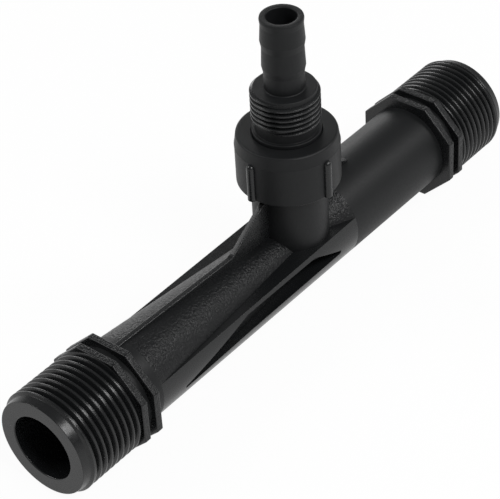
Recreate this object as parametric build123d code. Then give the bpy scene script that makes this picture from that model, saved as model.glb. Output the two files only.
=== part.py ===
"""Venturi suction tee for irrigation lines: threaded run, union nut, barbed hose spigot.

The run lies along X and liquid flows towards +X. The suction branch stands on +Z. Every
shape is built about the point where the two axes cross, then moved so that the origin is
the middle of the box's base, under the two octagonal collars that the fitting rests on.
Millimetres throughout.
"""

import os
from math import cos, pi, radians, sin, tan

from build123d import *

# --- run: a threaded spigot, two octagonal collars and a plain barrel at each end
INLET_REACH = 73.15         # tee centre to the inlet face
OUTLET_REACH = 89.45        # tee centre to the outlet face
RUN_BORE_R = 8.25
BARREL_R = 11.1
END_LENGTH = 18.8           # collar to end face, thread and lead-in together
COLLAR_WIDTH = 1.9
COLLAR_GAP = 2.2            # groove between a pair of collars
COLLAR_FLATS = 26.7         # across the octagon's flats
GROOVE_R = 12.0
COLLAR_BREAK = 0.25         # broken edges of the collars

# --- moulded pipe threads: 55 degree form with broad crests
THREAD_FLANK = 27.5         # half angle, degrees
THREAD_ROOT_SINK = 0.1      # how far a ridge is rooted in its core
RUN_CREST_R = 13.22         # G 3/4 outside
RUN_PITCH = 1.814
RUN_DEPTH = 0.95
RUN_CREST = 0.62            # width of the crest
RUN_NOSE_R = 12.2           # radius at the end face
RUN_NOSE = 0.95             # length of the slightly tapered nose
RUN_NOSE_TAPER = 0.3        # radius that the nose gains
RUN_CHAMFER = 0.55          # length of the chamfer from the nose up to the crest
RUN_LAND = 0.8              # full-diameter ring that the thread runs out into
RUN_LAND_PROUD = 0.03       # how far that ring stands over the crests
RUN_THREAD_LEAD = 0.55      # turns that the thread starts inside the collar
SPIGOT_CREST_R = 8.33       # G 3/8 outside
SPIGOT_PITCH = 1.337
SPIGOT_DEPTH = 0.72
SPIGOT_CREST = 0.42
UNION_CREST_R = 10.45       # G 1/2 outside, under the union nut
UNION_PITCH = 1.814
UNION_CREST = 0.45

# --- venturi: converging inlet, throat, long diffuser
THROAT_R = 3.2
THROAT_START, THROAT_END = -3.0, 1.0
INLET_CONE_ANGLE = 24.7     # half angle of the converging bore, degrees
DIFFUSER_SLOPE = 0.074      # radius gained per millimetre, in the bore and on the outside
WAIST_R = 6.57              # outside radius of the diffuser cone, carried back to the axis of the branch
SHOULDER_X = -12.2          # where the barrel ends and the outer inlet cone starts
SHOULDER_ANGLE = 23.0       # half angle of the outer inlet cone, degrees

# --- side slabs that carry the barrel's outline past the waist, with a leaf-shaped pocket in each
SLAB_TOP_INLET, SLAB_TOP_OUTLET = 4.1, 3.4
SLAB_UNDERSIDE = -7.4
UNDERCUT_START_X, UNDERCUT_END_X = 2.0, 44.0
POCKET_TIPS = ((-7.5, -2.2), (57.0, -3.7))
POCKET_ROOF = ((4.5, 2.7), (30.5, 2.8))
POCKET_SILL = ((2.0, -2.5), (30.0, -2.6))
EDGE_ROUND = 0.35           # rounding of the slabs' outer edges
POCKET_ROUND = 1.0          # rounding of the pockets' corners, seen from the side

# --- webs in the middle plane: a gusset on each side of the branch and a low spine
WEB_THICKNESS = 1.4
GUSSET_TOP_Z = 18.2
GUSSET_LEDGE = 1.6          # flat on top of each gusset, beyond the branch
GUSSET_FOOT = (23.0, 10.1)
SPINE_END_Z = 11.55
REAR_FOOT = (-21.0, 12.0)
REAR_END_X = -22.2
REAR_STEP = 0.3             # drop of the rear web from its foot to its end
KEEL_Z = -10.9
WEB_ROOT = 0.5              # how far webs and shells run into what they join

# --- suction branch
BRANCH_R = 9.25
BRANCH_BORE_R = 6.5
BRANCH_TOP_Z = 27.8
BRANCH_THREAD_Z = 21.2      # start of the union thread
BRANCH_CHAMFER = 0.7
CHAMBER_FLOOR_Z = 9.5       # ledge that the check spring stands on
SUCTION_HOLE_R = 1.8

# --- clearances
THREAD_CLEARANCE = 0.1      # nut over the branch thread's crests, on the radius
SHANK_CLEARANCE = 0.09      # nut over the spigot's shank, on the radius
TAIL_CLEARANCE = 0.3        # spigot tail in the branch bore
FLANGE_CLEARANCE = 0.4      # flange in the nut
SEAT_CLEARANCE = 0.05       # seat ring in its counterbore
SEAL_CLEARANCE = 0.05       # washer on the spigot's tail
BALL_CLEARANCE = 0.3        # closed ball to its seat, measured square to the cone
SPRING_CLEARANCE = 0.1      # spring to the ball

# --- union nut
NUT_BOTTOM_Z = 20.1
NUT_TOP_Z = 33.6
NUT_WALL_R = 12.6
NUT_BAND_Z = 30.3           # start of the tapered band
NUT_RIM_R = 12.15
NUT_ROOF = 2.0
NUT_RIM_ROUND = 0.6
GRIP_COUNT = 4
GRIP_R = 1.1                # half-round grips, centred on the nut's wall
GRIP_PHASE = -5.0           # degrees from +X

# --- hose spigot
FLANGE_THICKNESS = 2.2
SHANK_TOP_Z = 34.5
NECK_R = 7.5
SPIGOT_THREAD_Z = 36.5
SPIGOT_FACE_Z = 45.9
SPIGOT_TOP_Z = 64.9
SPIGOT_BORE_R = 3.64
SPIGOT_CHAMFER = 0.2
TAIL_LENGTH = 3.4
HOSE_ROOT_R = 4.85
BARB_PROFILE = ((50.3, 4.85), (52.0, 5.2), (57.0, 5.0), (58.8, 5.32), (63.0, 5.05), (64.4, 5.22))

# --- check valve inside the branch
SEAL_THICKNESS = 1.6
SEAT_THICKNESS = 2.0
SEAT_BORE_R = 3.0
SEAT_R = 5.1
SEAT_LAND = 0.5             # straight part of the seat's bore, above its 45 degree cone
BALL_R = 5.0
SPRING_WIRE_R = 0.3
SPRING_MEAN_R = 3.5
SPRING_TURNS = 5

# --- worked out from the above
COLLAR_R = COLLAR_FLATS / 2 / cos(radians(22.5))
BASE_Z = -COLLAR_FLATS / 2
MIDDLE_X = (OUTLET_REACH - INLET_REACH) / 2
DIFFUSER_END = THROAT_END + (RUN_BORE_R - THROAT_R) / DIFFUSER_SLOPE
CONVERGE_START = THROAT_START - (RUN_BORE_R - THROAT_R) / tan(radians(INLET_CONE_ANGLE))
SHOULDER_SLOPE = tan(radians(SHOULDER_ANGLE))
WAIST_X = (BARREL_R + SHOULDER_SLOPE * SHOULDER_X - WAIST_R) / (SHOULDER_SLOPE + DIFFUSER_SLOPE)
CONE_END_X = (BARREL_R - WAIST_R) / DIFFUSER_SLOPE
UNION_DEPTH = UNION_CREST_R - BRANCH_R
SPIGOT_ROOT_R = SPIGOT_CREST_R - SPIGOT_DEPTH
NUT_BORE_R = UNION_CREST_R + THREAD_CLEARANCE
NUT_ROOF_Z = NUT_TOP_Z - NUT_ROOF
FLANGE_Z = NUT_ROOF_Z - FLANGE_THICKNESS
FLANGE_R = NUT_BORE_R - FLANGE_CLEARANCE
SEAL_Z = FLANGE_Z - SEAL_THICKNESS
TAIL_R = BRANCH_BORE_R - TAIL_CLEARANCE
TAIL_Z = FLANGE_Z - TAIL_LENGTH
SEAT_CONE_TOP_Z = TAIL_Z + SEAT_THICKNESS - SEAT_LAND
BALL_Z = SEAT_CONE_TOP_Z + SEAT_BORE_R - (BALL_R + BALL_CLEARANCE) * 2 ** 0.5
SPRING_REACH = BALL_R + SPRING_WIRE_R + SPRING_CLEARANCE
SPRING_TOP_Z = BALL_Z - (SPRING_REACH ** 2 - SPRING_MEAN_R ** 2) ** 0.5


def lathe_x(points):
    """Solid turned about X from (x, r) points that start and end on the axis."""
    return revolve(make_face(Polyline([(x, r, 0) for x, r in points], close=True)), Axis.X)


def lathe_z(points):
    """Solid turned about Z from (z, r) points that form a closed outline."""
    return revolve(make_face(Polyline([(r, 0, z) for z, r in points], close=True)), Axis.Z)


def side_plate(points, thickness):
    """Plate in the middle plane from (x, z) points, `thickness` thick."""
    outline = make_face(Polyline([(x, 0, z) for x, z in points], close=True))
    return extrude(outline, amount=thickness / 2, dir=(0, 1, 0), both=True)


def thread_ridge(crest_r, depth, crest, pitch, start, end):
    """One right-hand ridge about Z, its middle running from z = start to z = end."""
    root_r = crest_r - depth - THREAD_ROOT_SINK
    root = crest + 2 * (depth + THREAD_ROOT_SINK) * tan(radians(THREAD_FLANK))
    path = Pos(0, 0, start) * Helix(pitch, end - start, root_r)
    outline = Polyline(
        [
            (root_r, 0, start - root / 2),
            (crest_r, 0, start - crest / 2),
            (crest_r, 0, start + crest / 2),
            (root_r, 0, start + root / 2),
        ],
        close=True,
    )
    return sweep(make_face(outline), path=path, is_frenet=True)


def along_x(shape, x, flip=False):
    """Lay a shape built about Z along X, its z = 0 at `x`, pointing to +X or, flipped, to -X."""
    return Pos(x, 0, 0) * Rot(0, -90 if flip else 90, 0) * shape


def threaded_end():
    """A run end about Z, from the outer collar's face at z = 0 to the end face."""
    root_r = RUN_CREST_R - RUN_DEPTH
    nose_start = END_LENGTH - RUN_NOSE
    land_end = nose_start - RUN_CHAMFER
    land_start = land_end - RUN_LAND
    blank = lathe_z(
        [
            (0, 0),
            (0, root_r),
            (land_start - RUN_DEPTH / 2, root_r),
            (land_start, RUN_CREST_R + RUN_LAND_PROUD),
            (land_end, RUN_CREST_R + RUN_LAND_PROUD),
            (nose_start, RUN_NOSE_R + RUN_NOSE_TAPER),
            (END_LENGTH, RUN_NOSE_R),
            (END_LENGTH, 0),
        ]
    )
    start = -RUN_THREAD_LEAD * RUN_PITCH
    end = (land_start + land_end) / 2
    return blank + thread_ridge(RUN_CREST_R, RUN_DEPTH, RUN_CREST, RUN_PITCH, start, end)


def collar_pair():
    """Two octagonal collars with the groove between them, from z = 0 down."""
    octagon = RegularPolygon(COLLAR_R, 8, rotation=22.5)
    plate = extrude(octagon, amount=-COLLAR_WIDTH)
    plate = chamfer(plate.edges(), COLLAR_BREAK)
    inner = Pos(0, 0, -COLLAR_WIDTH - COLLAR_GAP) * plate
    length = 2 * COLLAR_WIDTH + COLLAR_GAP
    groove = Cylinder(GROOVE_R, length, align=(Align.CENTER, Align.CENTER, Align.MAX))
    return plate + inner + groove


def side_slabs():
    """The barrel's outline carried past the waist as a slab on each side."""
    outline = [
        (SHOULDER_X - 1, SLAB_TOP_INLET),
        (CONE_END_X, SLAB_TOP_OUTLET),
        (CONE_END_X, -BARREL_R),
        (UNDERCUT_END_X, -BARREL_R),
        (UNDERCUT_START_X, SLAB_UNDERSIDE),
        (SHOULDER_X - 1, SLAB_UNDERSIDE),
    ]
    length = CONE_END_X - SHOULDER_X + 1
    tube = Pos((CONE_END_X + SHOULDER_X - 1) / 2, 0, 0) * Rot(0, 90, 0) * Cylinder(BARREL_R, length)
    slabs = tube & side_plate(outline, 3 * BARREL_R)
    long_edges = [e for e in slabs.edges() if e.bounding_box().size.X > 10 and abs(e.center().Y) > 2]
    slabs = fillet(long_edges, EDGE_ROUND)
    pocket = side_plate(
        [POCKET_TIPS[0], *POCKET_ROOF, POCKET_TIPS[1], *reversed(POCKET_SILL)], 3 * BARREL_R
    )
    corners = pocket.edges().filter_by(Axis.Y)
    pocket = fillet(corners, POCKET_ROUND)
    return slabs - pocket


def webs():
    """Gussets before and behind the branch, the spine along the top and the keel below."""
    ledge = BRANCH_R + GUSSET_LEDGE
    spine_end = OUTLET_REACH - END_LENGTH - 2 * COLLAR_WIDTH - COLLAR_GAP
    top = side_plate(
        [
            (0, 0),
            (REAR_END_X, BARREL_R - 1),
            (REAR_END_X, REAR_FOOT[1] - REAR_STEP),
            REAR_FOOT,
            (-ledge, GUSSET_TOP_Z),
            (ledge, GUSSET_TOP_Z),
            GUSSET_FOOT,
            (spine_end + WEB_ROOT, SPINE_END_Z),
            (spine_end + WEB_ROOT, 0),
        ],
        WEB_THICKNESS,
    )
    keel = side_plate(
        [(SHOULDER_X - 1, 0), (SHOULDER_X - 1, KEEL_Z), (UNDERCUT_END_X, KEEL_Z), (UNDERCUT_END_X, 0)],
        WEB_THICKNESS,
    )
    return top + keel


def venturi_body():
    """The whole tee moulding: run, venturi, branch and webs in one piece."""
    barrel_start = -INLET_REACH + END_LENGTH + 2 * COLLAR_WIDTH + COLLAR_GAP
    barrel_end = OUTLET_REACH - END_LENGTH - 2 * COLLAR_WIDTH - COLLAR_GAP
    shell = lathe_x(
        [
            (barrel_start - WEB_ROOT, 0),
            (barrel_start - WEB_ROOT, BARREL_R),
            (SHOULDER_X, BARREL_R),
            (WAIST_X, WAIST_R + DIFFUSER_SLOPE * WAIST_X),
            (CONE_END_X, BARREL_R),
            (barrel_end + WEB_ROOT, BARREL_R),
            (barrel_end + WEB_ROOT, 0),
        ]
    )
    body = shell + side_slabs() + webs()
    branch = Cylinder(BRANCH_R, BRANCH_TOP_Z, align=(Align.CENTER, Align.CENTER, Align.MIN))
    thread_end = BRANCH_TOP_Z - BRANCH_CHAMFER - UNION_PITCH / 2
    thread_start = BRANCH_THREAD_Z + UNION_PITCH / 2
    ridge = thread_ridge(
        UNION_CREST_R, UNION_DEPTH, UNION_CREST, UNION_PITCH, thread_start, thread_end
    )
    body = body + (branch + ridge)
    collars, end = collar_pair(), threaded_end()
    for x, flip in ((OUTLET_REACH - END_LENGTH, False), (END_LENGTH - INLET_REACH, True)):
        body = body + along_x(collars, x, flip) + along_x(end, x, flip)
    waterway = lathe_x(
        [
            (-INLET_REACH - 1, 0),
            (-INLET_REACH - 1, RUN_BORE_R),
            (CONVERGE_START, RUN_BORE_R),
            (THROAT_START, THROAT_R),
            (THROAT_END, THROAT_R),
            (DIFFUSER_END, RUN_BORE_R),
            (OUTLET_REACH + 1, RUN_BORE_R),
            (OUTLET_REACH + 1, 0),
        ]
    )
    chamber = lathe_z(
        [
            (0, 0),
            (0, SUCTION_HOLE_R),
            (CHAMBER_FLOOR_Z, SUCTION_HOLE_R),
            (CHAMBER_FLOOR_Z, BRANCH_BORE_R),
            (BRANCH_TOP_Z + 1, BRANCH_BORE_R),
            (BRANCH_TOP_Z + 1, 0),
        ]
    )
    return body - waterway - chamber


def union_nut():
    """Nut that draws the spigot's flange down onto the branch, with half-round grips."""
    wall = lathe_z(
        [
            (NUT_BOTTOM_Z, 0),
            (NUT_BOTTOM_Z, NUT_WALL_R),
            (NUT_BAND_Z, NUT_WALL_R),
            (NUT_TOP_Z, NUT_RIM_R),
            (NUT_TOP_Z, 0),
        ]
    )
    rim = wall.edges().sort_by(Axis.Z)[-1]
    wall = fillet(rim, NUT_RIM_ROUND)
    shoulder = Vector(GRIP_R, 0, NUT_BAND_Z - GRIP_R)
    foot, tip = Vector(0, 0, NUT_BOTTOM_Z), Vector(0, 0, NUT_BAND_Z)
    side = Polyline(tip, foot, Vector(GRIP_R, 0, NUT_BOTTOM_Z), shoulder)
    middle = shoulder + Vector(-GRIP_R * (1 - cos(pi / 4)), 0, GRIP_R * sin(pi / 4))
    dome = ThreePointArc(shoulder, middle, tip)
    bar = revolve(make_face(side + dome), Axis.Z)
    for k in range(GRIP_COUNT):
        turn = radians(GRIP_PHASE + 360 * k / GRIP_COUNT)
        wall += Pos(NUT_WALL_R * cos(turn), NUT_WALL_R * sin(turn), 0) * bar
    hollow = lathe_z(
        [
            (NUT_BOTTOM_Z - 1, 0),
            (NUT_BOTTOM_Z - 1, NUT_BORE_R),
            (NUT_ROOF_Z, NUT_BORE_R),
            (NUT_ROOF_Z, SPIGOT_CREST_R + SHANK_CLEARANCE),
            (NUT_TOP_Z + 1, SPIGOT_CREST_R + SHANK_CLEARANCE),
            (NUT_TOP_Z + 1, 0),
        ]
    )
    return wall - hollow


def hose_spigot():
    """Flanged spigot: tail with the valve seat's counterbore, shank, thread and hose barbs."""
    outline = [
        (TAIL_Z, 0),
        (TAIL_Z, TAIL_R),
        (FLANGE_Z, TAIL_R),
        (FLANGE_Z, FLANGE_R),
        (NUT_ROOF_Z, FLANGE_R),
        (NUT_ROOF_Z, SPIGOT_CREST_R),
        (SHANK_TOP_Z, SPIGOT_CREST_R),
        (SHANK_TOP_Z, NECK_R),
        (SPIGOT_THREAD_Z, NECK_R),
        (SPIGOT_THREAD_Z, SPIGOT_ROOT_R),
        (SPIGOT_FACE_Z, SPIGOT_ROOT_R),
        (SPIGOT_FACE_Z, HOSE_ROOT_R),
        *BARB_PROFILE,
        (SPIGOT_TOP_Z, BARB_PROFILE[-1][1] - SPIGOT_CHAMFER / 2),
        (SPIGOT_TOP_Z, 0),
    ]
    spigot = lathe_z(outline)
    ridge = thread_ridge(
        SPIGOT_CREST_R,
        SPIGOT_DEPTH,
        SPIGOT_CREST,
        SPIGOT_PITCH,
        SPIGOT_THREAD_Z + SPIGOT_PITCH / 2,
        SPIGOT_FACE_Z - SPIGOT_PITCH / 2 + SPIGOT_CHAMFER / 2,
    )
    over = SPIGOT_CREST_R + 1
    gauge = lathe_z(
        [
            (SPIGOT_THREAD_Z - 1, 0),
            (SPIGOT_THREAD_Z - 1, over),
            (SPIGOT_FACE_Z - SPIGOT_CHAMFER - 1, over),
            (SPIGOT_FACE_Z, SPIGOT_CREST_R - SPIGOT_CHAMFER),
            (SPIGOT_FACE_Z, 0),
        ]
    )
    spigot = spigot + (ridge & gauge)
    passage = lathe_z(
        [
            (TAIL_Z - 1, 0),
            (TAIL_Z - 1, SEAT_R + SEAT_CLEARANCE),
            (TAIL_Z + SEAT_THICKNESS, SEAT_R + SEAT_CLEARANCE),
            (TAIL_Z + SEAT_THICKNESS, SPIGOT_BORE_R),
            (SPIGOT_TOP_Z + 1, SPIGOT_BORE_R),
            (SPIGOT_TOP_Z + 1, 0),
        ]
    )
    return spigot - passage


def flange_seal():
    """Flat rubber washer on the spigot's tail, between the branch's rim and the flange."""
    inner, outer = TAIL_R + SEAL_CLEARANCE, UNION_CREST_R - UNION_DEPTH
    return lathe_z([(SEAL_Z, inner), (SEAL_Z, outer), (FLANGE_Z, outer), (FLANGE_Z, inner)])


def valve_seat():
    """Rubber seat ring in the spigot's tail, with a 45 degree cone for the ball."""
    return lathe_z(
        [
            (TAIL_Z + SEAT_THICKNESS, SEAT_BORE_R),
            (SEAT_CONE_TOP_Z, SEAT_BORE_R),
            (TAIL_Z, SEAT_BORE_R + SEAT_CONE_TOP_Z - TAIL_Z),
            (TAIL_Z, SEAT_R),
            (TAIL_Z + SEAT_THICKNESS, SEAT_R),
        ]
    )


def check_ball():
    """Ball that the spring holds up against the seat."""
    return Pos(0, 0, BALL_Z) * Sphere(BALL_R)


def check_spring():
    """Compression spring standing on the chamber's floor."""
    start = CHAMBER_FLOOR_Z + SPRING_WIRE_R
    height = SPRING_TOP_Z - start
    path = Pos(0, 0, start) * Helix(height / SPRING_TURNS, height, SPRING_MEAN_R)
    wire = Plane(origin=path @ 0, z_dir=path % 0) * Circle(SPRING_WIRE_R)
    return sweep(wire, path=path, is_frenet=True)


PIECES = (
    venturi_body,
    union_nut,
    hose_spigot,
    flange_seal,
    valve_seat,
    check_ball,
    check_spring,
)


def main():
    os.makedirs("parts", exist_ok=True)
    to_base = Pos(-MIDDLE_X, 0, -BASE_Z)
    for make in PIECES:
        export_step(to_base * make(), f"parts/{make.__name__}.step")


if __name__ == "__main__":
    main()
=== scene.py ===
"""Venturi suction tee in moulded black polypropylene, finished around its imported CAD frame.

The run lies along X with the outlet at +X, and the suction branch stands on +Z. Sizes in the
classes are millimetres from the tee's centre, where the run's axis and the branch's axis
cross. A finished mesh is in metres in the frame's own axes.
"""

import logging
import math
from collections.abc import Callable, Sequence
from dataclasses import dataclass, replace
from enum import Enum
from typing import Any

import bmesh
import bpy
from bpy.types import ID, Material, Mesh, MeshPolygon, Node, NodeSocket, NodeTree, Object
from mathutils import Matrix, Vector


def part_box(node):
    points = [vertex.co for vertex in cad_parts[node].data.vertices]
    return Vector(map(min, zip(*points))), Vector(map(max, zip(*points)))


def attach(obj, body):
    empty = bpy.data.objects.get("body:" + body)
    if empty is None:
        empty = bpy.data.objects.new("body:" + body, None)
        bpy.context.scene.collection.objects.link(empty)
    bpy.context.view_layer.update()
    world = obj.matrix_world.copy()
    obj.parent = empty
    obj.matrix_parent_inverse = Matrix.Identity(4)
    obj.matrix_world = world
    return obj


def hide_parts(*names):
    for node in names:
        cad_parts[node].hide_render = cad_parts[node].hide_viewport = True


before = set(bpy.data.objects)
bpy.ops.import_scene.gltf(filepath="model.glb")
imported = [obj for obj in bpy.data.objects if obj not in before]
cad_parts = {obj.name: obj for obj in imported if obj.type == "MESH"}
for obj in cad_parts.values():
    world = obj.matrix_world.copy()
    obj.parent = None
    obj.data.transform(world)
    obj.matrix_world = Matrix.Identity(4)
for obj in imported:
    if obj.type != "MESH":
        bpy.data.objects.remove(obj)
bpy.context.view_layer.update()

log = logging.getLogger("venturi_tee")

MM = 0.001
AROUND = 144  # flats that stand for a full turn of a turned surface
THREAD_STEPS = 96  # sections of a thread ridge in one turn
ROUND_STEPS = 3  # facets across a rounded corner
FLANK_ANGLE = 27.5  # half angle of a pipe thread, degrees
SMOOTH_UP_TO = 38.0  # edges flatter than this are shaded smooth, degrees
ROUND_FROM = 30.0  # edges sharper than this are rounded, degrees
OCTAGON = 8  # sides of a collar
SIDEWAYS = 0.1  # a face whose normal rises less than this looks sideways
WELD = 1e-4  # points closer than this are one point, millimetres
NOISE_SPREAD = (0.3, 0.7)  # nearly all values of a noise texture lie between these

# The collars are as wide as they are high and stand on the floor, so half the body's width is
# also the height of the run's axis.
body_low, body_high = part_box("venturi_body")
spigot_low, spigot_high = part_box("hose_spigot")
TEE_CENTRE = Vector(((spigot_low.x + spigot_high.x) / 2, 0.0, (body_high.y - body_low.y) / 2))
ON_BRANCH = Matrix.Translation(TEE_CENTRE) @ Matrix.Scale(MM, 4)
LIE_DOWN = Matrix.Rotation(math.pi / 2, 4, "Y")
TO_OUTLET = ON_BRANCH @ LIE_DOWN
TO_INLET = ON_BRANCH @ Matrix.Rotation(-math.pi / 2, 4, "Y")

Corner = tuple[float, float, float]
Point = tuple[float, float]


class Cut(Enum):
    """How a tool solid changes a blank."""

    AWAY = "DIFFERENCE"
    KEEP_SHARED = "INTERSECT"


def linear(hex_colour: str) -> tuple[float, float, float, float]:
    """Turn an sRGB hex colour into linear light.

    Args:
        hex_colour: colour such as "#1b1c1e".

    Returns:
        Red, green, blue and alpha, linear.
    """
    parts = [int(hex_colour[k : k + 2], 16) / 255 for k in (1, 3, 5)]
    red, green, blue = (c / 12.92 if c <= 0.04045 else ((c + 0.055) / 1.055) ** 2.4 for c in parts)
    return red, green, blue, 1.0


def add(
    tree: NodeTree,
    kind: str,
    settings: dict[str, Any] | None = None,
    inputs: dict[str | int, Any] | None = None,
) -> Node:
    """Add a node with its settings, and fill or link its inputs.

    Args:
        tree: shader or geometry node tree.
        kind: the node's type name.
        settings: properties of the node.
        inputs: values, or nodes (their first output) or sockets to link, by name or number.

    Returns:
        The new node.
    """
    node = tree.nodes.new(kind)
    for name, value in (settings or {}).items():
        setattr(node, name, value)
    for key, value in (inputs or {}).items():
        if isinstance(value, Node):
            value = value.outputs[0]
        if isinstance(value, NodeSocket):
            tree.links.new(value, node.inputs[key])
        else:
            node.inputs[key].default_value = value
    return node


@dataclass(frozen=True)
class Finish:
    """A surface finish: colour, gloss, and the grain that the mould or tool left on it.

    Grain and mottle are sizes in millimetres: how wide one speck or patch is, and how deep.
    Roughness runs from the first value to the second with the grain.
    """

    name: str
    colour: str
    roughness: tuple[float, float]
    grain: float
    grain_depth: float
    mottle: float = 6.0
    mottle_depth: float = 0.0
    mottle_colour: str | None = None
    ior: float = 1.49
    specular: float = 0.5
    metallic: float = 0.0

    def material(self) -> Material:
        """Build the node material of this finish.

        Returns:
            The material, its patterns on Object coordinates.
        """
        material = bpy.data.materials.new(self.name)
        material.use_nodes = True
        tree = material.node_tree
        tree.nodes.clear()
        place = add(tree, "ShaderNodeTexCoord").outputs["Object"]
        speck, patch = (
            add(
                tree,
                "ShaderNodeTexNoise",
                inputs={
                    "Vector": place,
                    "Scale": 1 / (width * MM),
                    "Detail": detail,
                    "Roughness": fineness,
                },
            )
            for width, detail, fineness in ((self.grain, 2.0, 0.6), (self.mottle, 3.0, 0.5))
        )
        colour = add(
            tree,
            "ShaderNodeMix",
            {"data_type": "RGBA"},
            {0: patch, 6: linear(self.colour), 7: linear(self.mottle_colour or self.colour)},
        ).outputs[2]
        gloss = add(
            tree,
            "ShaderNodeMapRange",
            inputs={
                "Value": speck,
                "From Min": NOISE_SPREAD[0],
                "From Max": NOISE_SPREAD[1],
                "To Min": self.roughness[0],
                "To Max": self.roughness[1],
            },
        )
        relief: dict[str, Any] = {}
        for height, depth in ((patch, self.mottle_depth), (speck, self.grain_depth)):
            relief |= {"Height": height, "Distance": depth * MM, "Strength": 1.0}
            relief["Normal"] = add(tree, "ShaderNodeBump", inputs=relief)
        shader = add(
            tree,
            "ShaderNodeBsdfPrincipled",
            inputs={
                "Base Color": colour,
                "Roughness": gloss,
                "Metallic": self.metallic,
                "IOR": self.ior,
                "Specular IOR Level": self.specular,
                "Normal": relief["Normal"],
            },
        )
        add(tree, "ShaderNodeOutputMaterial", inputs={"Surface": shader})
        return material


# Polypropylene against polished steel: nearly black, glossy edges, faint sink waves.
POLISHED_PP = Finish(
    "black_polypropylene_smooth_mould",
    colour="#131415",
    roughness=(0.22, 0.30),
    grain=0.8,
    grain_depth=0.0015,
    mottle=7.0,
    mottle_depth=0.012,
    mottle_colour="#161718",
    specular=0.4,
)
# The same plastic against blasted steel: satin, with no sharp reflection on the wide rounds.
SATIN_PP = replace(
    POLISHED_PP,
    name="black_polypropylene_blasted_mould",
    roughness=(0.44, 0.54),
    grain=0.5,
    grain_depth=0.004,
    specular=0.25,
)
# The same plastic against spark-eroded steel: a dry, speckled sheen. The grain is drawn
# 0.6 mm wide, coarser than the real 0.1 mm, so that it shows.
SPARKED_PP = replace(
    SATIN_PP,
    name="black_polypropylene_spark_eroded_mould",
    colour="#121314",
    roughness=(0.28, 0.46),
    grain=0.62,
    grain_depth=0.24,
    mottle=5.0,
    mottle_depth=0.01,
)
# Nitrile rubber, compression moulded: dull, faintly powdery.
NITRILE = Finish(
    "nitrile_rubber_compression_moulded",
    colour="#151515",
    roughness=(0.7, 0.85),
    grain=0.3,
    grain_depth=0.006,
    mottle_colour="#1c1c1b",
)
# Acetal ball, ground: waxy off-white with a tight highlight.
ACETAL = Finish(
    "acetal_ground_ball",
    colour="#d8d7d0",
    roughness=(0.25, 0.32),
    grain=0.2,
    grain_depth=0.0008,
    mottle_colour="#d2d1c9",
    ior=1.48,
)
# Stainless spring wire, drawn: bright with fine draw marks.
SPRING_WIRE = Finish(
    "stainless_steel_drawn_wire",
    colour="#b9b8b4",
    roughness=(0.2, 0.34),
    grain=0.12,
    grain_depth=0.001,
    mottle_colour="#adaca8",
    ior=1.5,
    metallic=1.0,
)


def tidied(mesh: Mesh) -> Mesh:
    """Weld a closed shell's seams and poles, and turn its faces outwards.

    Args:
        mesh: the shell, in millimetres.

    Returns:
        The same mesh.
    """
    shell = bmesh.new()
    shell.from_mesh(mesh)
    bmesh.ops.remove_doubles(shell, verts=shell.verts, dist=WELD)
    bmesh.ops.recalc_face_normals(shell, faces=shell.faces)
    shell.to_mesh(mesh)
    shell.free()
    return mesh


def solid(verts: Sequence[Sequence[float]], faces: Sequence[Sequence[int]]) -> Mesh:
    """Make a closed shell from its points and faces.

    Args:
        verts: the points, in millimetres.
        faces: the point numbers round each face.

    Returns:
        The shell, welded and facing outwards.
    """
    mesh = bpy.data.meshes.new("blank")
    mesh.from_pydata(verts, [], faces)
    return tidied(mesh)


def rounded(corners: Sequence[Corner]) -> list[Point]:
    """Closed outline with an arc at each corner that has a rounding.

    Args:
        corners: (along, out, rounding) for each corner, in order round the outline.

    Returns:
        (along, out) points.
    """
    outline: list[Point] = []
    for k, (along, out, rounding) in enumerate(corners):
        tip = Vector((along, out))
        if not rounding:
            outline.append((along, out))
            continue
        back = Vector(corners[k - 1][:2]) - tip
        ahead = Vector(corners[(k + 1) % len(corners)][:2]) - tip
        half = back.angle(ahead) / 2
        middle = (back.normalized() + ahead.normalized()).normalized()
        centre = tip + middle * (rounding / math.sin(half))
        first = back.normalized() * (rounding / math.tan(half)) + tip - centre
        last = ahead.normalized() * (rounding / math.tan(half)) + tip - centre
        for step in range(ROUND_STEPS + 1):
            arm = first.lerp(last, step / ROUND_STEPS).normalized() * rounding
            outline.append(tuple(centre + arm))
    return outline


def turned(corners: Sequence[Corner], around: int = AROUND, turn: float = 0.0) -> Mesh:
    """Solid turned about Z from a closed outline.

    Args:
        corners: (z, radius, rounding) for each corner.
        around: flats in a full turn.
        turn: degrees that the first flat's edge is turned from +X.

    Returns:
        The solid, in millimetres.
    """
    outline = rounded(corners)
    count = len(outline)
    angles = [math.radians(turn) + 2 * math.pi * k / around for k in range(around)]
    verts = [(r * math.cos(a), r * math.sin(a), z) for a in angles for z, r in outline]
    faces = []
    for k in range(around):
        here, after = k * count, (k + 1) % around * count
        for j in range(count):
            up = (j + 1) % count
            faces.append((here + j, here + up, after + up, after + j))
    return solid(verts, faces)


def plate(corners: Sequence[Corner], thickness: float) -> Mesh:
    """Flat plate in the middle plane.

    Args:
        corners: (x, z, rounding) for each corner.
        thickness: its width across the middle plane.

    Returns:
        The plate, in millimetres.
    """
    outline = rounded(corners)
    count = len(outline)
    verts = [(x, side * thickness / 2, z) for side in (-1, 1) for x, z in outline]
    near_side = tuple(range(count))
    far_side = tuple(range(2 * count - 1, count - 1, -1))
    faces: list[tuple[int, ...]] = [near_side, far_side]
    for k in range(count):
        after = (k + 1) % count
        faces.append((k, after, count + after, count + k))
    return solid(verts, faces)


def evaluated(holder: Object) -> Mesh:
    """Take an object's mesh as its modifiers leave it, and remove the object.

    Args:
        holder: the object.

    Returns:
        The plain mesh.
    """
    graph = bpy.context.evaluated_depsgraph_get()
    mesh = bpy.data.meshes.new_from_object(holder.evaluated_get(graph), depsgraph=graph)
    bpy.data.objects.remove(holder)
    return mesh


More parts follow.
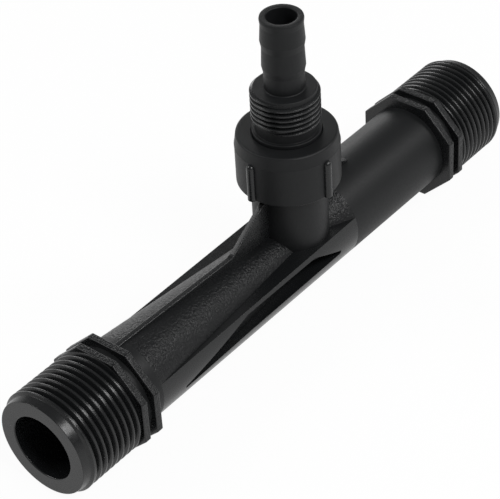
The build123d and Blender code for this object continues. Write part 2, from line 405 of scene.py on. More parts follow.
def stood(name: str, data: ID) -> Object:
    """Put an object in the scene.

    Args:
        name: its name.
        data: its mesh, lamp or lens.

    Returns:
        The object, at the origin.
    """
    made = bpy.data.objects.new(name, data)
    bpy.context.scene.collection.objects.link(made)
    return made


def shaped(mesh: Mesh, kind: str, **settings: Any) -> Mesh:
    """Run one modifier over a mesh.

    Args:
        mesh: the blank.
        kind: modifier type.
        settings: the modifier's settings.

    Returns:
        The finished mesh.
    """
    holder = stood("holder", mesh)
    modifier = holder.modifiers.new(kind.lower(), kind)
    for name, value in settings.items():
        setattr(modifier, name, value)
    return evaluated(holder)


def softened(mesh: Mesh, width: float) -> Mesh:
    """Round every sharp edge of a mesh.

    Args:
        mesh: the blank.
        width: how wide the rounding is, in millimetres.

    Returns:
        The rounded mesh.
    """
    return shaped(
        mesh,
        "BEVEL",
        width=width,
        segments=ROUND_STEPS,
        limit_method="ANGLE",
        angle_limit=math.radians(ROUND_FROM),
        miter_outer="MITER_ARC",
    )


def cut(blank: Mesh, tool: Mesh, how: Cut) -> Mesh:
    """Cut one solid with another.

    Args:
        blank: the solid that stays.
        tool: the solid that cuts it.
        how: whether the tool's space is taken away or kept.

    Returns:
        What is left of the blank.
    """
    cutter = stood("cutter", tool)
    left = shaped(blank, "BOOLEAN", object=cutter, operation=how.value, solver="EXACT")
    bpy.data.objects.remove(cutter)
    return left


def new_tree(name: str, inputs: Sequence[tuple[str, str]]) -> tuple[NodeTree, Node]:
    """Start a geometry node tree.

    Args:
        name: the tree's name.
        inputs: name and socket type of each input after the geometry.

    Returns:
        The tree and its input node.
    """
    tree = bpy.data.node_groups.new(name, "GeometryNodeTree")
    tree.interface.new_socket("Geometry", in_out="INPUT", socket_type="NodeSocketGeometry")
    tree.interface.new_socket("Geometry", in_out="OUTPUT", socket_type="NodeSocketGeometry")
    for label, kind in inputs:
        tree.interface.new_socket(label, in_out="INPUT", socket_type=kind)
    return tree, tree.nodes.new("NodeGroupInput")


def end_tree(tree: NodeTree, geometry: Node, finish: NodeSocket) -> None:
    """Close a geometry node tree: realise its instances and give them their material.

    Args:
        tree: the tree.
        geometry: the node that makes its shape.
        finish: its material input.
    """
    real = add(tree, "GeometryNodeRealizeInstances", inputs={"Geometry": geometry})
    coated = add(tree, "GeometryNodeSetMaterial", inputs={"Geometry": real, "Material": finish})
    add(tree, "NodeGroupOutput", inputs={0: coated})


def thread_tree() -> NodeTree:
    """Right-hand thread ridge about Z: a rounded trapezoid swept along a helix.

    Returns:
        The geometry node tree.
    """
    names = ("Root Radius", "Height", "Turns", "Crest Width", "Root Width")
    names += ("Depth", "Sink", "Rounding", "Run-out")
    inputs = [(name, "NodeSocketFloat") for name in names]
    tree, given = new_tree("moulded_thread", [*inputs, ("Material", "NodeSocketMaterial")])
    size = given.outputs
    helix = add(
        tree,
        "GeometryNodeCurveSpiral",
        inputs={
            "Resolution": THREAD_STEPS,
            "Rotations": size["Turns"],
            "Start Radius": size["Root Radius"],
            "End Radius": size["Root Radius"],
            "Height": size["Height"],
            "Reverse": True,
        },
    )
    upright = add(tree, "GeometryNodeSetCurveNormal", {"mode": "Z_UP"}, {"Curve": helix})
    heights = {0: size["Depth"], 1: size["Sink"]}
    tall, over = (
        add(tree, "ShaderNodeMath", {"operation": operation}, heights)
        for operation in ("ADD", "SUBTRACT")
    )
    section = add(
        tree,
        "GeometryNodeCurvePrimitiveQuadrilateral",
        {"mode": "TRAPEZOID"},
        {
            "Bottom Width": size["Root Width"],
            "Top Width": size["Crest Width"],
            "Offset": 0.0,
            "Height": tall,
        },
    )
    soft = add(
        tree,
        "GeometryNodeFilletCurve",
        {"mode": "POLY"},
        {
            "Curve": section,
            "Count": ROUND_STEPS,
            "Radius": size["Rounding"],
            "Limit Radius": True,
        },
    )
    half_over = add(tree, "ShaderNodeMath", {"operation": "MULTIPLY"}, {0: over, 1: 0.5})
    outwards = add(tree, "ShaderNodeCombineXYZ", inputs={"X": half_over})
    laid = add(
        tree,
        "GeometryNodeTransform",
        inputs={
            "Geometry": soft,
            "Translation": outwards,
            "Rotation": (0.0, 0.0, -math.pi / 2),
        },
    )
    along = add(tree, "GeometryNodeSplineParameter")
    left = add(tree, "ShaderNodeMath", {"operation": "SUBTRACT"}, {0: 1.0, 1: along})
    nearest = add(tree, "ShaderNodeMath", {"operation": "MINIMUM"}, {0: along, 1: left})
    fade = add(
        tree,
        "ShaderNodeMapRange",
        {"interpolation_type": "SMOOTHSTEP"},
        {"Value": nearest, "From Max": size["Run-out"], "To Min": 0.1, "To Max": 1.0},
    )
    ridge = add(
        tree,
        "GeometryNodeCurveToMesh",
        inputs={
            "Curve": upright,
            "Profile Curve": laid,
            "Scale": fade,
            "Fill Caps": True,
        },
    )
    end_tree(tree, ridge, size["Material"])
    return tree


def ring_tree() -> NodeTree:
    """Copies of the given shape standing in a ring about Z.

    Returns:
        The geometry node tree.
    """
    kinds = {"Count": "Int", "Radius": "Float", "Phase": "Float", "Material": "Material"}
    inputs = [(name, "NodeSocket" + kind) for name, kind in kinds.items()]
    tree, given = new_tree("standing_ring", inputs)
    size = given.outputs
    circle = {"Vertices": size["Count"], "Radius": size["Radius"]}
    ring = add(tree, "GeometryNodeMeshCircle", inputs=circle)
    turn = add(tree, "ShaderNodeCombineXYZ", inputs={"Z": size["Phase"]})
    turned_ring = add(tree, "GeometryNodeTransform", inputs={"Geometry": ring, "Rotation": turn})
    standing = add(
        tree,
        "GeometryNodeInstanceOnPoints",
        inputs={"Points": turned_ring, "Instance": size["Geometry"]},
    )
    end_tree(tree, standing, size["Material"])
    return tree


def grown(tree: NodeTree, sizes: dict[str, Any], blank: Mesh | None = None) -> Mesh:
    """Run a geometry node tree and give its plain mesh.

    Args:
        tree: the tree.
        sizes: its inputs by name.
        blank: mesh that the tree starts from, if it needs one.

    Returns:
        The mesh, welded and facing outwards.
    """
    holder = stood("holder", blank or bpy.data.meshes.new("seed"))
    modifier = holder.modifiers.new(tree.name, "NODES")
    modifier.node_group = tree
    for item in tree.interface.items_tree:
        if item.in_out == "INPUT" and item.name in sizes:
            modifier[item.identifier] = sizes[item.name]
    return tidied(evaluated(holder))


@dataclass(frozen=True)
class Thread:
    """A moulded external pipe thread, in millimetres along its own Z.

    The ridge is rooted `sink` deep in its cylinder, and `run_out` is the share of its length
    over which it fades at each end.
    """

    crest_radius: float
    depth: float
    crest_width: float
    pitch: float
    start: float
    end: float
    rounding: float = 0.14
    sink: float = 0.12
    run_out: float = 0.01

    def ridge(self, tree: NodeTree, finish: Material) -> Mesh:
        """Sweep the thread's ridge about Z.

        Args:
            tree: the thread tree.
            finish: its material.

        Returns:
            The ridge, in millimetres, at its height on Z.
        """
        spread = 2 * (self.depth + self.sink) * math.tan(math.radians(FLANK_ANGLE))
        sizes = {
            "Root Radius": self.crest_radius - self.depth,
            "Height": self.end - self.start,
            "Turns": (self.end - self.start) / self.pitch,
            "Crest Width": self.crest_width,
            "Root Width": self.crest_width + spread,
            "Depth": self.depth,
            "Sink": self.sink,
            "Rounding": self.rounding,
            "Run-out": self.run_out,
            "Material": finish,
        }
        mesh = grown(tree, sizes)
        mesh.transform(Matrix.Translation((0.0, 0.0, self.start)))
        return mesh


def dressed(mesh: Mesh, *finishes: Material) -> Mesh:
    """Give a mesh its materials, the first on every face.

    Args:
        mesh: the mesh.
        finishes: its materials, in the order of their numbers.

    Returns:
        The same mesh.
    """
    mesh.materials.clear()
    for finish in finishes:
        mesh.materials.append(finish)
    return mesh


def textured(mesh: Mesh, which: Callable[[MeshPolygon], int]) -> Mesh:
    """Choose the material of each face of a mesh.

    Args:
        mesh: the mesh, with its materials.
        which: gives a face its material's number.

    Returns:
        The same mesh.
    """
    for face in mesh.polygons:
        face.material_index = int(which(face))
    return mesh


def moved(mesh: Mesh, place: Matrix) -> Mesh:
    """Move a mesh from its own millimetres to its place in the frame."""
    mesh.transform(place)
    return mesh


def piece(name: str, parts: Sequence[Mesh], node: str, body: str) -> Object:
    """Join a moulding's parts into the one piece that stands for a CAD node.

    Args:
        name: the piece's name.
        parts: its meshes, in place and dressed.
        node: the CAD node that it stands for.
        body: the body that it moves with.

    Returns:
        The finished object.
    """
    finishes = list(dict.fromkeys(finish for part in parts for finish in part.materials))
    whole = bmesh.new()
    for part in parts:
        places = [finishes.index(finish) for finish in part.materials]
        for face in part.polygons:
            face.material_index = places[face.material_index]
        whole.from_mesh(part)
    joined = bpy.data.meshes.new(name)
    whole.to_mesh(joined)
    whole.free()
    for finish in finishes:
        joined.materials.append(finish)
    joined.shade_smooth()
    joined.set_sharp_from_angle(angle=math.radians(SMOOTH_UP_TO))
    mesh = shaped(joined, "WEIGHTED_NORMAL", keep_sharp=True)
    mesh.name = name
    made = stood(name, mesh)
    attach(made, body)
    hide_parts(node)
    log.info("%s: %d faces, stands for %s", name, len(mesh.polygons), node)
    return made


@dataclass(frozen=True)
class Plastics:
    """The black polypropylene's materials, one for each texture of its moulds."""

    polished: Material
    satin: Material
    sparked: Material


@dataclass
class VenturiTee:
    """The tee moulding: threaded run, venturi waist with slabs and webs, and the branch."""

    inlet_reach: float = 73.15
    outlet_reach: float = 89.45
    bore_radius: float = 8.25
    barrel_radius: float = 11.1
    end_length: float = 18.8
    collar_width: float = 1.9
    collar_gap: float = 2.2
    collar_flats: float = 26.7
    collar_core: float = 10.4
    groove_radius: float = 12.0
    collar_break: float = 0.28
    collar_tuck: float = 0.5  # how far the run's steps lie inside a collar
    crest_radius: float = 13.22
    thread_depth: float = 1.05
    thread_pitch: float = 1.814
    thread_crest_width: float = 0.45
    thread_rounding: float = 0.17
    thread_lead: float = 0.55  # pitches that the ridge starts behind the collar's face
    nose_radius: float = 12.2
    nose_length: float = 2.1
    nose_gain: float = 0.4
    nose_chamfer: float = 0.35
    land: float = 0.4
    land_proud: float = 0.03
    throat_radius: float = 3.2
    throat: Point = (-3.0, 1.0)  # from x to x
    converge_x: float = -13.98
    diffuser_slope: float = 0.074
    waist: Point = (-1.3, 6.47)  # x and outer radius of the narrowest place
    cone_radius: float = 6.644  # outside of the diffuser at the throat's end
    inner_limit: float = 6.0  # the waterway's faces lie nearer the axis than this,
    inner_margin: float = 1.0  # or than the diffuser's wall and this much more
    shoulder_x: float = -12.2
    slab_top: Point = (4.1, 3.4)  # heights at the inlet's end and the outlet's
    slab_underside: float = -7.4
    slab_skin: float = 0.01  # how far the slabs lie under the barrel's skin
    slab_wall: float = 1.8
    slab_core: float = 5.0  # the slabs' inner radius at the waist
    slab_round: float = 0.25
    undercut: Point = (2.0, 44.0)  # x where it starts, and where it meets the barrel
    undercut_rise: float = 5.0
    pocket: tuple[Corner, ...] = (
        (-7.5, -2.2, 0.5),
        (4.5, 2.7, 1.0),
        (30.5, 2.8, 1.5),
        (57.0, -3.7, 0.4),
        (30.0, -2.6, 3.0),
    )
    web_thickness: float = 1.4
    web_round: float = 0.22
    gusset_top: float = 18.2
    gusset_ledge: float = 1.6  # how far the gussets' tops stand out of the branch
    gusset_root: float = 1.25  # how deep the gussets are rooted in it
    spine_bend_x: float = 23.0
    rear_foot_x: float = -22.2
    keel_span: Point = (-13.2, 44.5)  # from x to x
    keel_bottom: float = -10.9
    branch_radius: float = 9.25
    branch_bore: float = 6.5
    branch_top: float = 27.8
    branch_chamfer: float = 0.7
    branch_root: float = 1.35  # wall of the branch's foot, below its chamber
    chamber_floor: float = 9.5
    chamber_floor_thickness: float = 2.0
    suction_hole: float = 1.8
    drill_depth: float = 8.0
    foot_clearance: tuple[float, float, float] = (7.8, 4.0, 4.9)  # radii kept clear in it
    union_crest_radius: float = 10.45
    union_thread: Point = (22.1, 26.19)  # from z to z
    union_run_out: float = 0.06
    overlap: float = 0.6
    past: float = 1.0  # how far a cutting tool runs past its blank

    @property
    def root_radius(self) -> float:
        """Radius at the bottom of the run threads."""
        return self.crest_radius - self.thread_depth

    @property
    def collars_length(self) -> float:
        """Length of a pair of collars with the groove between them."""
        return 2 * self.collar_width + self.collar_gap

    @property
    def cone_end_x(self) -> float:
        """Where the outer diffuser cone has grown to the barrel."""
        return self.throat[1] + (self.barrel_radius - self.cone_radius) / self.diffuser_slope

    def diffuser_radius(self, x: float) -> float:
        """Bore radius of the diffuser at x."""
        return self.throat_radius + self.diffuser_slope * (x - self.throat[1])

    def end_corners(self) -> list[Corner]:
        """Draw a run end's outline, from the barrel out to the bore's edge.

        Returns:
            (along, radius, rounding) for each corner, with the collar's face at 0.
        """
        nose = self.end_length - self.nose_length
        land_end = nose - self.nose_chamfer
        land_start = land_end - self.land
        groove = -self.collar_width - self.collar_gap
        land_radius = self.crest_radius + self.land_proud
        return [
            (-self.collars_length, self.barrel_radius, 0.0),
            (-self.collars_length + self.collar_tuck, self.barrel_radius, 0.0),
            (groove - self.collar_tuck, self.groove_radius, 0.0),
            (-self.collar_width + self.collar_tuck, self.groove_radius, 0.0),
            (-self.collar_tuck, self.root_radius, 0.0),
            (land_start - self.thread_depth / 2, self.root_radius, 0.1),
            (land_start, land_radius, 0.15),
            (land_end, land_radius, 0.12),
            (nose, self.nose_radius + self.nose_gain, 0.1),
            (self.end_length, self.nose_radius, 0.15),
            (self.end_length, self.bore_radius, 0.3),
        ]

    def run(self, plastics: Plastics) -> Mesh:
        """Turn the whole run with its waterway, and drill the suction hole.

        Args:
            plastics: polished on the threaded ends, sparked on the outer cones, satin between.

        Returns:
            The run, in place.
        """
        outlet_face = self.outlet_reach - self.end_length
        inlet_face = self.end_length - self.inlet_reach
        outlet = [(outlet_face + z, r, soft) for z, r, soft in self.end_corners()]
        inlet = [(inlet_face - z, r, soft) for z, r, soft in reversed(self.end_corners())]
        outside = [
            (self.shoulder_x, self.barrel_radius, 0.6),
            (*self.waist, 1.5),
            (self.cone_end_x, self.barrel_radius, 0.0),
        ]
        growth = (self.bore_radius - self.throat_radius) / self.diffuser_slope
        diffuser_end = self.throat[1] + growth
        waterway = [
            (diffuser_end, self.bore_radius, 0.0),
            (self.throat[1], self.throat_radius, 0.0),
            (self.throat[0], self.throat_radius, 0.0),
            (self.converge_x, self.bore_radius, 0.0),
        ]
        run = turned([*inlet, *outside, *outlet, *waterway])
        run.transform(LIE_DOWN)
        deep, wide = self.drill_depth, self.suction_hole
        drill = turned([(0, 0, 0), (0, wide, 0), (deep, wide, 0), (deep, 0, 0)], around=32)
        run = cut(run, drill, Cut.AWAY)

        def zone(face: MeshPolygon) -> int:
            """Number a face's material: 2 on the threaded ends, 1 on the outer cones, else 0.

            Args:
                face: a face of the run.

            Returns:
                The material's number.
            """
            x, y, z = face.center
            if not inlet_face < x < outlet_face:
                return 2
            wall = self.inner_limit
            if x >= self.throat[0]:
                wall = min(wall, self.diffuser_radius(x) + self.inner_margin)
            return int(self.shoulder_x < x < self.cone_end_x and math.hypot(y, z) > wall)

        run = dressed(run, plastics.satin, plastics.sparked, plastics.polished)
        return moved(textured(run, zone), ON_BRANCH)

    def collars(self, plastics: Plastics) -> list[Mesh]:
        """Cut the four octagonal collars.

        Args:
            plastics: polished on their faces, sparked on their flats.

        Returns:
            The collars, in place.
        """
        corner = self.collar_flats / 2 / math.cos(math.pi / OCTAGON)
        rim = corner * math.cos(math.pi / OCTAGON) - self.collar_break

        def on_flat(face: MeshPolygon) -> bool:
            """Whether a face is one of the eight flats."""
            return abs(face.normal.z) < SIDEWAYS and face.center.xy.length > rim

        made = []
        for reach, place in ((self.outlet_reach, TO_OUTLET), (self.inlet_reach, TO_INLET)):
            outer = reach - self.end_length
            for top in (outer, outer - self.collar_width - self.collar_gap):
                foot = top - self.collar_width
                outline = [
                    (foot, self.collar_core, 0.0),
                    (foot, corner, 0.0),
                    (top, corner, 0.0),
                    (top, self.collar_core, 0.0),
                ]
                blank = turned(outline, around=OCTAGON, turn=180 / OCTAGON)
                ring = softened(blank, self.collar_break)
                ring = dressed(ring, plastics.polished, plastics.sparked)
                made.append(moved(textured(ring, on_flat), place))
        return made

    def slabs(self, plastic: Material) -> Mesh:
        """Cut the side slabs with their pockets; they carry the barrel's outline past the waist.

        Args:
            plastic: their material.

        Returns:
            The slabs, in place.
        """
        start = self.shoulder_x - self.overlap
        end = self.cone_end_x + self.overlap
        skin = self.barrel_radius - self.slab_skin
        outline = [
            (start, skin, 0),
            (end, skin, 0),
            (end, skin - self.slab_wall, 0),
            (self.throat[1], self.slab_core, 0),
            (self.throat[0], self.slab_core, 0),
            (start, skin - self.slab_wall, 0),
        ]
        tube = turned(outline)
        tube.transform(LIE_DOWN)
        across = 3 * self.barrel_radius
        below = -self.barrel_radius - self.past
        side = plate(
            [
                (start - self.past, self.slab_top[0], 0),
                (end + self.past, self.slab_top[1], 0),
                (end + self.past, below, 0),
                (self.undercut[1] + self.undercut_rise, below, 0),
                (self.undercut[1], -self.barrel_radius, 0),
                (self.undercut[0], self.slab_underside, 0),
                (start - self.past, self.slab_underside, 0),
            ],
            across,
        )
        slabs = cut(tube, side, Cut.KEEP_SHARED)
        slabs = cut(slabs, plate(self.pocket, across), Cut.AWAY)
        return moved(dressed(softened(slabs, self.slab_round), plastic), ON_BRANCH)

    def webs(self, plastic: Material) -> list[Mesh]:
        """Cut the two gussets, the spine and the keel, rooted in the run's wall.

        Args:
            plastic: their material.

        Returns:
            The webs, in place.
        """
        ledge = self.branch_radius + self.gusset_ledge
        wall = self.branch_radius - self.gusset_root
        collars_start = self.outlet_reach - self.end_length - self.collars_length
        spine_end = collars_start + self.collar_tuck
        front = [
            (wall, 5.5, 0),
            (wall, self.gusset_top, 0),
            (ledge, self.gusset_top, 0.5),
            (self.spine_bend_x, 10.1, 3.0),
            (spine_end, 11.55, 0),
            (spine_end, 9.5, 0),
            (self.spine_bend_x, 6.5, 0),
        ]
        rear = [
            (-wall, 7.5, 0),
            (self.rear_foot_x, 10.1, 0),
            (self.rear_foot_x, 11.7, 0.2),
            (-21.0, 12.0, 0.3),
            (-ledge, self.gusset_top, 0.5),
            (-wall, self.gusset_top, 0),
        ]
        keel_start, keel_end = self.keel_span
        keel = [
            (keel_start, -9.3, 0),
            (keel_start, self.keel_bottom, 0),
            (keel_end, self.keel_bottom, 0),
            (keel_end, -8.2, 0),
            (1.0, -5.0, 0),
            (-3.0, -5.0, 0),
        ]
        made = []
        for outline in (front, rear, keel):
            web = softened(plate(outline, self.web_thickness), self.web_round)
            made.append(moved(dressed(web, plastic), ON_BRANCH))
        return made

    def branch(self, plastic: Material) -> Mesh:
        """Turn the suction branch with its chamber, and clear the waterway through its foot.

        Args:
            plastic: its material.

        Returns:
            The branch, in place.
        """
        skirt = self.branch_radius - self.branch_root
        floor_under = self.chamber_floor - self.chamber_floor_thickness
        outline = [
            (0, self.branch_radius, 0),
            (self.branch_top - self.branch_chamfer, self.branch_radius, 0.1),
            (self.branch_top, self.branch_radius - self.branch_chamfer, 0.1),
            (self.branch_top, self.branch_bore, 0.2),
            (self.chamber_floor, self.branch_bore, 0),
            (self.chamber_floor, self.suction_hole, 0),
            (floor_under, self.suction_hole, 0),
            (floor_under, skirt, 0),
            (0, skirt, 0),
        ]
        branch = turned(outline)
        near, far = -skirt - 4 * self.past, skirt + 4 * self.past
        at_inlet, at_throat, at_outlet = self.foot_clearance
        outline = [
            (near, 0, 0),
            (near, at_inlet, 0),
            (self.throat[0], at_throat, 0),
            (self.throat[1], at_throat, 0),
            (far, at_outlet, 0),
            (far, 0, 0),
        ]
        core = turned(outline)
        core.transform(LIE_DOWN)
        return moved(dressed(cut(branch, core, Cut.AWAY), plastic), ON_BRANCH)

    def threads(self, tree: NodeTree, plastic: Material) -> list[Mesh]:
        """Grow the two run threads and the union thread.

        Args:
            tree: the thread tree.
            plastic: their material.

        Returns:
            The ridges, in place.
        """
        land_middle = self.end_length - self.nose_length - self.nose_chamfer - self.land / 2
        run_thread = Thread(
            self.crest_radius,
            self.thread_depth,
            self.thread_crest_width,
            self.thread_pitch,
            -self.thread_lead * self.thread_pitch,
            land_middle,
            rounding=self.thread_rounding,
        )
        union_thread = Thread(
            self.union_crest_radius,
            self.union_crest_radius - self.branch_radius,
            self.thread_crest_width,
            self.thread_pitch,
            *self.union_thread,
            run_out=self.union_run_out,
        )
        made = [moved(union_thread.ridge(tree, plastic), ON_BRANCH)]
        for reach, place in ((self.outlet_reach, TO_OUTLET), (self.inlet_reach, TO_INLET)):
            ridge = run_thread.ridge(tree, plastic)
            ridge.transform(Matrix.Translation((0.0, 0.0, reach - self.end_length)))
            made.append(moved(ridge, place))
        return made

    def build(self, tree: NodeTree, plastics: Plastics) -> None:
        """Make the moulding and put it on the tee body.

        Args:
            tree: the thread tree.
            plastics: its materials.
        """
        polished, satin = plastics.polished, plastics.satin
        parts = [self.run(plastics), *self.collars(plastics), self.slabs(polished)]
        parts += [*self.webs(polished), self.branch(satin), *self.threads(tree, polished)]
        piece("tee_moulding", parts, "venturi_body", "tee")


@dataclass
class UnionNut:
    """Round nut with four half-round grips and a tapered top band."""

    bottom: float = 20.1
    top: float = 33.6
    wall_radius: float = 12.6
    band_z: float = 30.3
    rim_radius: float = 12.15
    rim_round: float = 0.6
    bore_radius: float = 10.55
    roof: float = 2.0
    neck_radius: float = 8.42
    parting_bead: float = 0.05
    bead_half_width: float = 0.12
    bead_step: float = 0.02  # how far the band lies back above the bead
    grip_count: int = 4
    grip_radius: float = 1.1
    grip_dome: float = 0.98  # share of the grip's radius that its dome rounds off
    grip_phase: float = -5.0  # degrees

    def shell(self) -> Mesh:
        """Turn the nut's wall and roof, with the bead that its mould's parting left."""
        roof_z = self.top - self.roof
        outline = [
            (self.bottom, self.bore_radius, 0.25),
            (self.bottom, self.wall_radius, 0.3),
            (self.band_z - self.bead_half_width, self.wall_radius, 0),
            (self.band_z, self.wall_radius + self.parting_bead, 0.04),
            (self.band_z + self.bead_half_width, self.wall_radius - self.bead_step, 0),
            (self.top, self.rim_radius, self.rim_round),
            (self.top, self.neck_radius, 0.2),
            (roof_z, self.neck_radius, 0),
            (roof_z, self.bore_radius, 0),
        ]
        return turned(outline)

    def grip(self) -> Mesh:
        """Turn one grip: a round bar with a domed top."""
        return turned(
            [
                (self.bottom, 0, 0),
                (self.bottom, self.grip_radius, 0.25),
                (self.band_z, self.grip_radius, self.grip_dome * self.grip_radius),
                (self.band_z, 0, 0),
            ],
            around=32,
        )

    def build(self, tree: NodeTree, plastics: Plastics) -> None:
        """Make the nut and put it on its body.

        Args:
            tree: the ring tree.
            plastics: satin on its wall, polished on its grips.
        """
        sizes = {
            "Count": self.grip_count,
            "Radius": self.wall_radius,
            "Phase": math.radians(self.grip_phase),
            "Material": plastics.polished,
        }
        grips = grown(tree, sizes, self.grip())
        shell = dressed(self.shell(), plastics.satin)
        parts = [moved(mesh, ON_BRANCH) for mesh in (shell, grips)]
        piece("grip_nut", parts, "union_nut", "nut")


@dataclass
class HoseSpigot:
    """Flanged spigot with a threaded shank and a barbed hose nose."""

    tail_z: float = 26.0
    flange_z: float = 29.4
    roof_z: float = 31.58
    shank_z: float = 34.5
    thread_z: float = 36.5
    face_z: float = 45.9
    top_z: float = 64.9
    tail_radius: float = 6.2
    flange_radius: float = 10.15
    crest_radius: float = 8.33
    neck_radius: float = 7.5
    thread_depth: float = 0.72
    thread_pitch: float = 1.337
    thread_crest_width: float = 0.42
    thread_rounding: float = 0.12
    thread_run_out: float = 0.03
    thread_rise: float = 0.2  # height over which the neck grows to the thread's root
    thread_close: float = 0.1  # how far the last turn closes up to the face
    hose_radius: float = 4.85
    barbs: tuple[Corner, ...] = (
        (50.3, 4.85, 1.5),
        (52.0, 5.2, 0.3),
        (57.0, 5.0, 1.5),
        (58.8, 5.32, 0.3),
        (63.0, 5.05, 1.5),
        (64.4, 5.22, 0.3),
    )
    nose_radius: float = 5.1
    bore_radius: float = 3.64
    seat_radius: float = 5.15
    seat_depth: float = 2.0

    def build(self, tree: NodeTree, plastics: Plastics) -> None:
        """Make the spigot and put it on its body.

        Args:
            tree: the thread tree.
            plastics: satin on its turning, polished on its thread.
        """
        root = self.crest_radius - self.thread_depth
        outline = [
            (self.tail_z, self.seat_radius, 0),
            (self.tail_z, self.tail_radius, 0.2),
            (self.flange_z, self.tail_radius, 0),
            (self.flange_z, self.flange_radius, 0.2),
            (self.roof_z, self.flange_radius, 0.2),
            (self.roof_z, self.crest_radius, 0),
            (self.shank_z, self.crest_radius, 0.18),
            (self.shank_z, self.neck_radius, 0.1),
            (self.thread_z, self.neck_radius, 0),
            (self.thread_z + self.thread_rise, root, 0),
            (self.face_z, root, 0.2),
            (self.face_z, self.hose_radius, 0.25),
            *self.barbs,
            (self.top_z, self.nose_radius, 0.15),
            (self.top_z, self.bore_radius, 0.3),
            (self.tail_z + self.seat_depth, self.bore_radius, 0),
            (self.tail_z + self.seat_depth, self.seat_radius, 0),
        ]
        turning = turned(outline)
        thread = Thread(
            self.crest_radius,
            self.thread_depth,
            self.thread_crest_width,
            self.thread_pitch,
            self.thread_z + self.thread_pitch / 2,
            self.face_z - self.thread_pitch / 2 + self.thread_close,
            rounding=self.thread_rounding,
            run_out=self.thread_run_out,
        )
        ridge = thread.ridge(tree, plastics.polished)
        parts = [moved(mesh, ON_BRANCH) for mesh in (dressed(turning, plastics.satin), ridge)]
        piece("barbed_spigot", parts, "hose_spigot", "spigot")


class CheckValve:
    """The parts inside the union, which keep their CAD shapes and get their real finishes."""

    FINISHES = {
        "flange_seal": NITRILE,
        "valve_seat": NITRILE,
        "check_ball": ACETAL,
        "check_spring": SPRING_WIRE,
    }

    def build(self) -> None:
        """Put each finish on its node."""
        made = {finish: finish.material() for finish in dict.fromkeys(self.FINISHES.values())}
        for node, finish in self.FINISHES.items():
            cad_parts[node].material_slots[0].material = made[finish]
            log.info("%s: %s", node, finish.name)


@dataclass(frozen=True)
class Lamp:
    """A soft box aimed at the tee: degrees round and up, then metres, and watts."""

    name: str
    azimuth: float
    elevation: float
    distance: float
    width: float
    height: float
    power: float

    def hang(self) -> None:
        """Make the lamp."""
        light = bpy.data.lights.new(self.name, "AREA")
        light.shape = "RECTANGLE"
        light.size, light.size_y = self.width, self.height
        light.energy = self.power
        lamp = stood(self.name, light)
        away = bearing(self.azimuth, self.elevation)
        lamp.matrix_world = (
            Matrix.Translation(TEE_CENTRE + away * self.distance)
            @ away.to_track_quat("Z", "Y").to_matrix().to_4x4()
        )


def bearing(azimuth: float, elevation: float) -> Vector:
    """Find the direction of a point round the tee.

    Args:
        azimuth: degrees round from +X.
        elevation: degrees above the floor.

    Returns:
        The unit vector towards it.
    """
    turn, rise = math.radians(azimuth), math.radians(elevation)
    level = math.cos(rise)
    return Vector((level * math.cos(turn), level * math.sin(turn), math.sin(rise)))


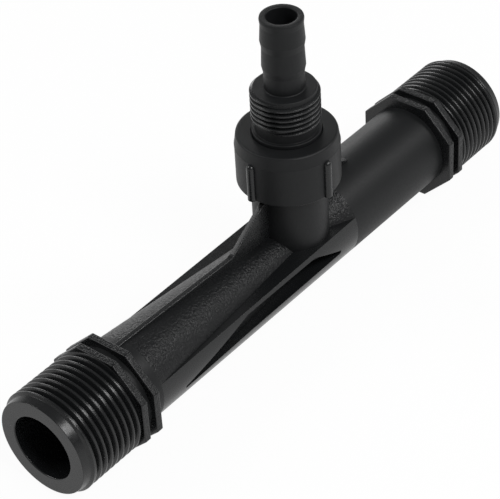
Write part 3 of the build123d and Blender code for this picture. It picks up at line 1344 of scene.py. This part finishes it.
@dataclass
class Studio:
    """White sweep, soft boxes, world and camera.

    The sweep is in metres, the camera in degrees and millimetres. The paper is part plain white
    and part lit: `shadow_share` of it is lit where it is looked at, and `gloss_share` where it
    is mirrored in the plastic.
    """

    floor_radius: float = 2.5
    wall_radius: float = 3.0
    wall_height: float = 0.7
    paper: float = 0.02
    floor_gap: float = 0.1  # millimetres from the tee's flats down to the paper
    shadow_share: float = 0.05
    gloss_share: float = 0.45
    world_level: float = 0.25
    azimuth: float = 41.05
    elevation: float = 38.55
    roll: float = -3.67
    distance: float = 510.383
    tee_right: float = 10.295
    tee_down: float = -2.052
    lens: float = 150.16
    sensor: float = 36.0

    LAMPS = (
        Lamp("key_front_right", 80.0, 50.0, 0.9, 0.3, 0.3, 4.0),
        Lamp("key_back_right", 133.0, 43.0, 0.9, 0.22, 0.2, 2.2),
        Lamp("window_left", -62.0, 38.0, 0.9, 0.35, 0.45, 2.5),
        Lamp("low_back_left", -130.0, 14.0, 0.9, 0.4, 0.3, 1.2),
    )

    def sweep_material(self) -> Material:
        """White paper that shows as white to the eye and in gloss, and keeps a faint shadow.

        Returns:
            The material.
        """
        material = bpy.data.materials.new("white_paper_sweep")
        material.use_nodes = True
        tree = material.node_tree
        tree.nodes.clear()
        rays = add(tree, "ShaderNodeLightPath").outputs
        greater, times = {"operation": "MAXIMUM"}, {"operation": "MULTIPLY"}
        bounced = add(
            tree,
            "ShaderNodeMath",
            greater,
            {0: rays["Is Glossy Ray"], 1: rays["Is Transmission Ray"]},
        )
        mirrored, seen = (
            add(tree, "ShaderNodeMath", times, {0: ray, 1: 1 - lit})
            for ray, lit in (
                (bounced, self.gloss_share),
                (rays["Is Camera Ray"], self.shadow_share),
            )
        )
        share = add(tree, "ShaderNodeMath", greater, {0: seen, 1: mirrored})
        paper = add(tree, "ShaderNodeBsdfDiffuse", inputs={"Color": linear("#f4f4f4")})
        glow = add(
            tree, "ShaderNodeEmission", inputs={"Color": linear("#ffffff"), "Strength": 1.0}
        )
        mixed = add(tree, "ShaderNodeMixShader", inputs={0: share, 1: paper, 2: glow})
        add(tree, "ShaderNodeOutputMaterial", inputs={"Surface": mixed})
        return material

    def sweep(self) -> Object:
        """Lay the floor, which curves up into a wall all round.

        Returns:
            The sweep's object.
        """
        corners = [
            (0, 0, 0),
            (0, self.wall_radius, self.wall_radius - self.floor_radius),
            (self.wall_height, self.wall_radius, 0),
            (self.wall_height, self.wall_radius + self.paper, 0),
            (-self.paper, self.wall_radius + self.paper, 0),
            (-self.paper, 0, 0),
        ]
        mesh = dressed(turned(corners, around=96), self.sweep_material())
        mesh.transform(Matrix.Translation((0.0, 0.0, -self.floor_gap * MM)))
        mesh.shade_smooth()
        return stood("paper_sweep", mesh)

    def camera(self) -> None:
        """Stand the camera where the tee's centre lies right of and above the view's middle."""
        away = bearing(self.azimuth, self.elevation)
        level_right = (-away).cross(Vector((0, 0, 1))).normalized()
        level_down = (-away).cross(level_right)
        roll = math.radians(self.roll)
        right = level_right * math.cos(roll) - level_down * math.sin(roll)
        down = level_right * math.sin(roll) + level_down * math.cos(roll)
        offset = away * self.distance - right * self.tee_right - down * self.tee_down
        lens = bpy.data.cameras.new("camera")
        lens.lens = self.lens
        lens.sensor_width = self.sensor
        lens.sensor_fit = "HORIZONTAL"
        camera = stood("camera", lens)
        axes = Matrix((right, -down, away)).transposed().to_4x4()
        camera.matrix_world = Matrix.Translation(TEE_CENTRE + offset * MM) @ axes
        bpy.context.scene.camera = camera

    def build(self) -> None:
        """Set the stage round the object."""
        self.sweep()
        for lamp in self.LAMPS:
            lamp.hang()
        world = bpy.data.worlds.new("soft_room")
        world.use_nodes = True
        level = world.node_tree.nodes["Background"].inputs
        level["Color"].default_value = (1.0, 1.0, 1.0, 1.0)
        level["Strength"].default_value = self.world_level
        bpy.context.scene.world = world
        bpy.context.scene.view_settings.view_transform = "Standard"
        self.camera()


def main() -> None:
    """Build the tee, its union and the studio in order."""
    logging.basicConfig(level=logging.INFO, format="%(message)s")
    plastics = Plastics(POLISHED_PP.material(), SATIN_PP.material(), SPARKED_PP.material())
    threads, ring = thread_tree(), ring_tree()
    VenturiTee().build(threads, plastics)
    UnionNut().build(ring, plastics)
    HoseSpigot().build(threads, plastics)
    CheckValve().build()
    Studio().build()


if __name__ == "__main__":
    main()
